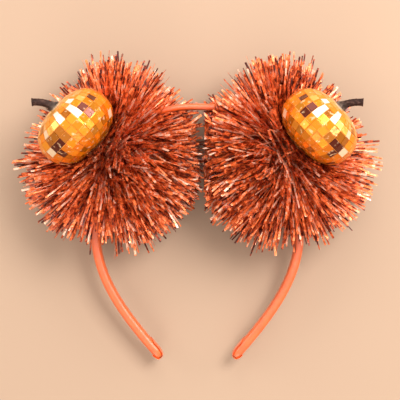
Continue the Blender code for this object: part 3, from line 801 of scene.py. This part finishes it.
def addTileRow(word, index, template):
    side = sides[word]
    rng = np.random.default_rng(100 + index)
    (lowRadius, lowHeight), (highRadius, highHeight) = pumpkins[word]["rows"][index]
    perLobe = tilesPerLobe[index]
    count = pumpkinSetup["lobes"] * perLobe
    pitch = 2 * math.pi / count
    lobeHalf = math.pi / pumpkinSetup["lobes"]
    corners = coordinates(template.data)
    placed = np.empty((count, len(corners), 3))
    tones = np.empty(count)
    for i in range(count):
        start = -lobeHalf + i * pitch
        spots = []
        for angle in (start, start + pitch):
            for radius, height in ((lowRadius, lowHeight), (highRadius, highHeight)):
                reach = radius * lobeScale(angle)
                turned = -side * (angle + pumpkinSetup["turn"])
                spots.append(np.array((reach * math.cos(turned), reach * math.sin(turned), height)))
        a, b, c, d = spots
        middle = (a + b + c + d) / 4
        across = unit((c + d) - (a + b))
        rise = unit((b + d) - (a + c))
        normal = unit(np.cross(across, rise)) * side * -1
        if normal @ middle < 0:
            normal = -normal
        tilt = rng.normal(0.0, pumpkinSetup["tilt"], 2)
        normalTilted = unit(normal + across * tilt[0] + rise * tilt[1])
        lowWide = np.linalg.norm(c - a) - pumpkinSetup["tileGap"]
        highWide = np.linalg.norm(d - b) - pumpkinSetup["tileGap"]
        tall = np.linalg.norm((b + d) - (a + c)) / 2 - pumpkinSetup["rowGap"]
        x, y, z = corners.T
        wide = lowWide + (highWide - lowWide) * (y + 0.5)
        flat = across * (x * wide)[:, None] + rise * (y * tall)[:, None]
        flat = flat - normalTilted * (flat @ normalTilted)[:, None]
        placed[i] = middle + flat + normalTilted * ((z - 1) * pumpkinSetup["tileThick"])[:, None]
        # painted reflections: each tile's tone is shifted at random, and a few are made dark or pale, to
        # stand for the varied things it mirrors
        spread = rng.normal(0.0, pumpkinSetup["reflectionSpread"])
        tones[i] = np.clip(rowAmberAndPaintedLight[index] + spread, 0, 1)
        if rng.random() < pumpkinSetup["randomReflectionShare"]:
            tones[i] = rng.choice(pumpkinSetup["randomReflectionTones"])
        fromFacing = i if i < count / 2 else i - count
        tones[i] = paintedReflectionAt.get((index + 1, fromFacing), tones[i])
    row = repeated(f"mirrorRow_{index + 1:02d}_{word}", template.data, toWorld(word, placed), tones)
    faceOutwards(row)
    row.data.shade_flat()
    finish(row, mirror)
    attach(row, word + "_leg")
    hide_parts(f"tile_row_{index + 1:02d}_{word}")


def bodyProfile(word, rise):
    # radius and height under the tiles, read between the rows' own corners
    rows = pumpkins[word]["rows"]
    corners = [rows[0][0]] + [(rows[i][1] + rows[i + 1][0]) / 2 for i in range(10)] + [rows[10][1]]
    corners = np.array([(0.0, corners[0][1])] + corners + [(0.0, corners[-1][1])])
    lengths = np.concatenate(([0.0], np.cumsum(np.linalg.norm(np.diff(corners, axis=0), axis=1))))
    at = (rise + 0.5) * lengths[-1]
    radius = np.interp(at, lengths, corners[:, 0])
    height = np.interp(at, lengths, corners[:, 1])
    reach = np.hypot(radius, height)
    shrink = (reach - pumpkinSetup["bodyInset"]) / reach
    return radius * shrink, height * shrink


def addBody(word):
    deselectAll()
    bpy.ops.mesh.primitive_uv_sphere_add(segments=120, ring_count=56, radius=1.0)
    body = named("pumpkinBody_" + word)
    local = coordinates(body.data)
    rise = np.arcsin(np.clip(local[:, 2], -1, 1)) / math.pi
    angle = np.arctan2(local[:, 1], local[:, 0])
    radius, height = bodyProfile(word, rise)
    turned = -sides[word] * angle - pumpkinSetup["turn"]
    reach = radius * lobeScale(turned)
    ripple = np.sin(angle * 41 + height * 2600)
    rough = pumpkinSetup["roughness"] * ripple * np.sin(height * 3100 + angle * 23)
    reach = reach + rough * (radius > 0.001)
    shape = np.stack((reach * np.cos(angle), reach * np.sin(angle), height), axis=1)
    setCoordinates(body.data, toWorld(word, shape))
    faceOutwards(body)
    smoothByAngle(body, 60)
    finish(body, grout)
    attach(body, word + "_leg")
    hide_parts("pumpkin_core_" + word)


stemSetup = {
    "straight": 0.0050, "sunk": 0.0016, "neck": 0.0021, "end": 0.00195, "foot": 0.0058, "nub": 0.00035,
    "flutes": 5, "fluteDepth": 0.12, "paleFoot": 0.26, "steps": 40,
}


def addStem(word):
    pumpkin = pumpkins[word]
    base = np.array((0.0, 0.0, pumpkin["rows"][10][1][1] - stemSetup["sunk"]))
    knee = base + np.array((0.0, 0.0, stemSetup["straight"] + stemSetup["sunk"]))
    end = pumpkin["stemEnd"]
    deselectAll()
    bpy.ops.mesh.primitive_circle_add(vertices=40, radius=1.0, fill_type="NGON")
    stem = named("stem_bark_" + word)
    bpy.ops.object.mode_set(mode="EDIT")
    bpy.ops.mesh.select_all(action="SELECT")
    for _ in range(stemSetup["steps"]):
        bpy.ops.mesh.extrude_region_move(TRANSFORM_OT_translate={"value": (0.0, 0.0, 1.0)})
    bpy.ops.mesh.inset(thickness=0.25)
    bpy.ops.transform.translate(value=(0.0, 0.0, -0.35))
    bpy.ops.mesh.select_all(action="SELECT")
    bpy.ops.mesh.normals_make_consistent(inside=False)
    bpy.ops.object.mode_set(mode="OBJECT")
    local = coordinates(stem.data)
    share = np.clip(local[:, 2] / stemSetup["steps"], 0, 1)[:, None]
    line = base * (1 - share) ** 2 + knee * 2 * share * (1 - share) + end * share**2
    direction = unit((knee - base) * (1 - share) + (end - knee) * share)
    across = unit(np.cross(np.array((0.0, 1.0, 0.0)), direction))
    up = np.cross(direction, across)
    share = share[:, 0]
    turn = np.arctan2(local[:, 1], local[:, 0])
    flare = (stemSetup["foot"] - stemSetup["neck"]) * (1 - share) ** 6
    radius = stemSetup["neck"] + (stemSetup["end"] - stemSetup["neck"]) * share + flare
    radius = radius + stemSetup["nub"] * np.exp(-((share - 1.0) / 0.05) ** 2)
    flute = np.abs(np.cos(stemSetup["flutes"] * turn / 2 + 2.2 * share)) - 0.64
    radius = radius * (1 + stemSetup["fluteDepth"] * flute * (1 + 1.3 * (1 - share) ** 4))
    radius = radius * (1 + 0.02 * np.sin(share * 55 + 2 * turn))
    tone = stem.data.attributes.new("tone", "FLOAT", "POINT")
    tone.data.foreach_set("value", np.exp(-((share / stemSetup["paleFoot"]) ** 2)).astype(np.float32))
    ring = np.hypot(local[:, 0], local[:, 1]) * radius
    dip = np.minimum(local[:, 2] - stemSetup["steps"], 0.0) * (ring < radius * 0.8) * 0.0012
    spot = line + across * (np.cos(turn) * ring)[:, None] + up * (np.sin(turn) * ring)[:, None]
    setCoordinates(stem.data, toWorld(word, spot + direction * dip[:, None]))
    faceOutwards(stem)
    smoothByAngle(stem, 40)
    finish(stem, bark)
    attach(stem, word + "_leg")
    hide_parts("stem_" + word)


tile = tileTemplate()
for word in sides:
    addBody(word)
    for index in range(11):
        addTileRow(word, index, tile)
    addStem(word)
bpy.data.objects.remove(tile)
print("pumpkins tiled")


# Tinsel: flat foil strips caught in the wound wire, pressed aside by what they meet.

tinselSetup = {
    "tufts": 450, "perTuft": 12, "width": 0.00116, "thick": 0.00007, "reach": (0.0562, 0.0590, 0.0470),
    "floorClear": 0.0006, "bandClear": 0.0044, "pumpkinClear": 0.0019, "pumpkinPower": 2.35,
    "meeting": 0.0036, "apart": 0.0008, "uneven": 0.0060, "crownOpen": (-0.0165, 0.0085),
    "lift": 0.62, "splay": 0.34, "shortened": 0.17, "stubs": 0.30,
    "marchSteps": 20, "stations": 6, "rootOut": 0.0052, "sag": 0.004, "curl": 0.012, "strayShare": 0.012,
    "lean": (math.radians(36), math.radians(22), math.radians(12)), "leanMost": math.radians(82),
    "swirl": (0.18, 0.22), "twist": math.radians(75), "tumble": 0.55, "widths": (0.72, 1.15),
    "trim": (0.910, 0.048, 0.075), "trimLimits": (0.55, 1.02), "wispShare": 0.05, "wispMore": 0.05,
    "stubTrim": (0.38, 0.70, 0.03),
    "tone": (0.60, 0.14), "highlightStripShare": 0.22, "highlightLift": 0.34, "shadedStripShare": 0.2, "shadeDrop": 0.42,
    "rootPaintedLight": 0.24, "tipPaintedShade": 0.44, "shadeFrom": 1.05, "shadeOver": 0.22, "shadeLeast": 0.12,
}


def stripTemplate():
    # one foil strip with a faint crease: X along it from 0 to 1, Y across, Z through
    deselectAll()
    bpy.ops.mesh.primitive_cylinder_add(
        vertices=3, radius=1.0, depth=1.0, location=(0.5, 0.0, 0.0), rotation=(0.0, math.pi / 2, 0.0))
    foilStrip = named("foilStrip")
    bakePlace(foilStrip)
    bpy.ops.object.mode_set(mode="EDIT")
    bpy.ops.mesh.select_all(action="DESELECT")
    shape = bmesh.from_edit_mesh(foilStrip.data)
    for edge in shape.edges:
        edge.select = abs(edge.verts[0].co.x - edge.verts[1].co.x) > 0.5
    bmesh.update_edit_mesh(foilStrip.data)
    bpy.ops.mesh.subdivide(number_cuts=tinselSetup["stations"] - 2)
    bpy.ops.object.mode_set(mode="OBJECT")
    local = coordinates(foilStrip.data)
    low, high = local[:, 1:].min(axis=0), local[:, 1:].max(axis=0)
    local[:, 1:] = (local[:, 1:] - low) / (high - low)
    local[:, 1] -= 0.5
    setCoordinates(foilStrip.data, local)
    return foilStrip


def pushOffPumpkin(word, points):
    # points inside the pumpkin, or above it, move out sideways
    pumpkin = pumpkins[word]
    away = points - pumpkin["middle"]
    flatAway = away.copy()
    flatAway[:, 2] = np.minimum(flatAway[:, 2], 0.0)
    local = flatAway @ pumpkin["turn"]
    clear = tinselSetup["pumpkinClear"]
    scaled = np.abs(local / (np.array(pumpkin["sizes"]) * np.array((1.0, 1.0, 1.02)) + clear))
    power = tinselSetup["pumpkinPower"]
    share = (np.hypot(scaled[:, 0], scaled[:, 1]) ** power + scaled[:, 2] ** power) ** (1 / power)
    inside = share < 1
    grow = np.where(inside, 1 / np.maximum(share, 0.15), 1.0)
    moved = flatAway * grow[:, None]
    result = points.copy()
    result[:, :2] = pumpkin["middle"][:2] + moved[:, :2]
    below = inside & (away[:, 2] < 0)
    result[below, 2] = pumpkin["middle"][2] + moved[below, 2]
    return result, inside


def pushOffBand(word, points, clear):
    # out of the band, and out from above the open stretch of the crown
    line = bandLines[word][0][::6]
    offset = points[:, None, :] - line[None, :, :]
    low, high = tinselSetup["crownOpen"]
    overCrown = (offset[..., 2] > 0) & (line[None, :, 0] > low) & (line[None, :, 0] < high)
    offset[..., 2] = np.where(overCrown, 0.0, offset[..., 2])
    distance = np.linalg.norm(offset, axis=2)
    nearest = distance.argmin(axis=1)
    rows = np.arange(len(points))
    gap = distance[rows, nearest]
    push = np.where(gap < clear, clear / np.maximum(gap, 1e-5) - 1, 0.0)
    return points + offset[rows, nearest] * push[:, None]


def marchStrips(word, start, heading, length, rng):
    # paths of all strips at once, step by step
    side = sides[word]
    count = len(start)
    steps = tinselSetup["marchSteps"]
    stride = (length / steps)[:, None]
    bend = unit(rng.normal(size=(count, 3))) * (tinselSetup["curl"] * rng.random(count) ** 2)[:, None]
    # a few strips keep their course by the pumpkin
    stray = rng.random(count) < tinselSetup["strayShare"]
    uneven = tinselSetup["uneven"] * rng.random(count) ** 2.2
    path = np.empty((count, steps + 1, 3))
    path[:, 0] = start
    point = start.copy()
    for step in range(steps):
        heading = unit(heading + bend + np.array((0.0, 0.0, -tinselSetup["sag"])))
        ahead = point + heading * stride
        if step > 2:
            ahead = pushOffBand(word, ahead, tinselSetup["bandClear"] - 0.0006)
        pushed, inside = pushOffPumpkin(word, ahead)
        ahead = np.where((inside & ~stray)[:, None], pushed, ahead)
        ahead[:, 2] = np.maximum(ahead[:, 2], tinselSetup["floorClear"])
        past = side * (tinselSetup["meeting"] - ahead[:, 0]) + tinselSetup["apart"] + uneven
        ahead[:, 0] += np.where(past > 0, side * past * 0.85, 0.0)
        moved = unit(ahead - point)
        ahead = point + moved * stride
        ahead[:, 2] = np.maximum(ahead[:, 2], tinselSetup["floorClear"])
        heading = unit(heading * 0.35 + moved * 0.65)
        point = ahead
        path[:, step + 1] = point
    return path


def addPompom(word):
    rng = np.random.default_rng(11)
    tufts, perTuft = tinselSetup["tufts"], tinselSetup["perTuft"]
    count = tufts * perTuft

    def tufted(spread, within):
        # a value for each tuft, and a little of its own for each strip
        return np.repeat(spread, perTuft) + rng.normal(0.0, within, count)

    middle = alongBand(word, earPoints[word])
    half = wireSetup["turns"] * wireSetup["pitch"] / 2
    place = np.clip(tufted(rng.uniform(-1, 1, tufts), 0.06), -1, 1)
    turn = tufted(rng.uniform(0, 2 * math.pi, tufts), 0.18)
    point, tangent, outward = onBand(word, middle + place * half)
    radial = outward * np.cos(turn)[:, None] + bandNormal * np.sin(turn)[:, None]
    start = point + radial * tinselSetup["rootOut"]
    leanByPlace, leanByTuft, leanByStrip = tinselSetup["lean"]
    lean = leanByPlace * place + tufted(rng.normal(0.0, leanByTuft, tufts), leanByStrip)
    lean = np.clip(lean, -tinselSetup["leanMost"], tinselSetup["leanMost"])
    swirlByTuft, swirlByStrip = tinselSetup["swirl"]
    swirl = np.cross(radial, tangent) * tufted(rng.normal(0.0, swirlByTuft, tufts), swirlByStrip)[:, None]
    # short tufts stand up round the root and hide it
    stub = np.repeat(rng.random(tufts) < tinselSetup["stubs"], perTuft)
    heading = unit(radial * np.cos(lean)[:, None] + tangent * np.sin(lean)[:, None] + swirl)
    # the pumpkin presses the upper strips down and away from itself
    awayFromPumpkin = earPoints[word] - pumpkins[word]["middle"]
    awayFromPumpkin[2] = 0.0
    awayFromPumpkin = unit(awayFromPumpkin)
    rising = np.maximum(heading[:, 2], 0.0)[:, None]
    heading = heading * np.where(heading[:, 2:] > 0, np.array((1.0, 1.0, tinselSetup["lift"])), 1.0)
    splay = np.where(stub, 0.15, 1.0) * tinselSetup["splay"]
    heading = unit(heading + awayFromPumpkin * rising**2 * splay[:, None])
    # up to a lumpy spheroid about the ear
    reach = np.array(tinselSetup["reach"])
    centre = earPoints[word]
    a = ((heading / reach) ** 2).sum(axis=1)
    b = ((start - centre) * heading / reach**2).sum(axis=1)
    c = (((start - centre) / reach) ** 2).sum(axis=1) - 1
    full = (-b + np.sqrt(b * b - a * c)) / a
    level = unit(heading * np.array((1.0, 1.0, 0.0)))
    towards = np.clip((-(level @ awayFromPumpkin) - 0.72) / 0.2, 0, 1)
    usual, byTuft, byStrip = tinselSetup["trim"]
    trim = np.clip(tufted(rng.normal(usual, byTuft, tufts), byStrip), *tinselSetup["trimLimits"])
    trim = trim + np.where(rng.random(count) < tinselSetup["wispShare"], tinselSetup["wispMore"], 0.0)
    shortest, longest, stubByStrip = tinselSetup["stubTrim"]
    trim = trim * np.where(stub, tufted(rng.uniform(shortest, longest, tufts), stubByStrip), 1.0)
    length = full * trim * (1 - tinselSetup["shortened"] * towards)
    path = marchStrips(word, start, heading, length, rng)
    stations = tinselSetup["stations"]
    picks = np.linspace(0, tinselSetup["marchSteps"], stations).round().astype(int)
    path = path[:, picks]
    direction = unit(np.gradient(path, axis=1))
    # the flat side mostly looks up
    lying = unit(np.array((0.0, 0.0, 1.0)) + rng.normal(size=(count, 3)) * tinselSetup["tumble"])
    widthWay = unit(np.cross(direction, lying[:, None, :]))
    twist = rng.normal(0.0, tinselSetup["twist"], count)
    share = np.linspace(0, 1, stations)
    angle = twist[:, None] * (share[None, :] - 0.4)
    throughWay = np.cross(direction, widthWay)
    widthTurned = widthWay * np.cos(angle)[..., None] + throughWay * np.sin(angle)[..., None]
    throughTurned = np.cross(direction, widthTurned)
    foilStrip = stripTemplate()
    corners = coordinates(foilStrip.data)
    station = np.rint(corners[:, 0] * (stations - 1)).astype(int)
    width = tinselSetup["width"] * rng.uniform(*tinselSetup["widths"], count)
    placed = path[:, station] + widthTurned[:, station] * (corners[None, :, 1] * width[:, None])[..., None]
    placed = placed + throughTurned[:, station] * (corners[:, 2] * tinselSetup["thick"])[None, :, None]
    kind = rng.random(count)
    tones = rng.normal(*tinselSetup["tone"], count)
    # painted highlights and shade: some strips are made paler to stand for highlights, some darker to stand
    # for shade between strips
    tones = tones + np.where(kind > 1 - tinselSetup["highlightStripShare"], tinselSetup["highlightLift"], 0.0)
    tones = tones - np.where(kind < tinselSetup["shadedStripShare"], tinselSetup["shadeDrop"], 0.0)
    # painted shade: dark where it runs close to the pumpkin
    scaled = (placed - pumpkins[word]["middle"]) @ pumpkins[word]["turn"] / np.array(pumpkins[word]["sizes"])
    far = (np.linalg.norm(scaled, axis=2) - tinselSetup["shadeFrom"]) / tinselSetup["shadeOver"]
    far = np.clip(far, 0, 1)
    shade = tinselSetup["shadeLeast"] + (1 - tinselSetup["shadeLeast"]) * far
    # painted light: strips made lighter towards the root, to lift the shade there, and darker towards the
    # tips
    paintedAlongStrip = tinselSetup["rootPaintedLight"] - tinselSetup["tipPaintedShade"] * corners[None, :, 0]
    tones = np.clip((tones[:, None] + paintedAlongStrip) * shade, 0, 1)
    pompom = repeated("tinselPompom_" + word, foilStrip.data, placed, tones)
    bpy.data.objects.remove(foilStrip)
    faceOutwards(pompom)
    smoothByAngle(pompom, 50)
    finish(pompom, foil)
    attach(pompom, word + "_leg")
    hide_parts("tinsel_pompom_" + word)


for word in sides:
    addPompom(word)
print("tinsel combed")


# CAD pieces that stay, with their own finish.

for word in ("crown", "left", "right"):
    finish(cadNodes["band_core_" + word], strip)
for word in sides:
    finish(cadNodes["glue_bed_" + word], glue)
print("frame pieces finished")
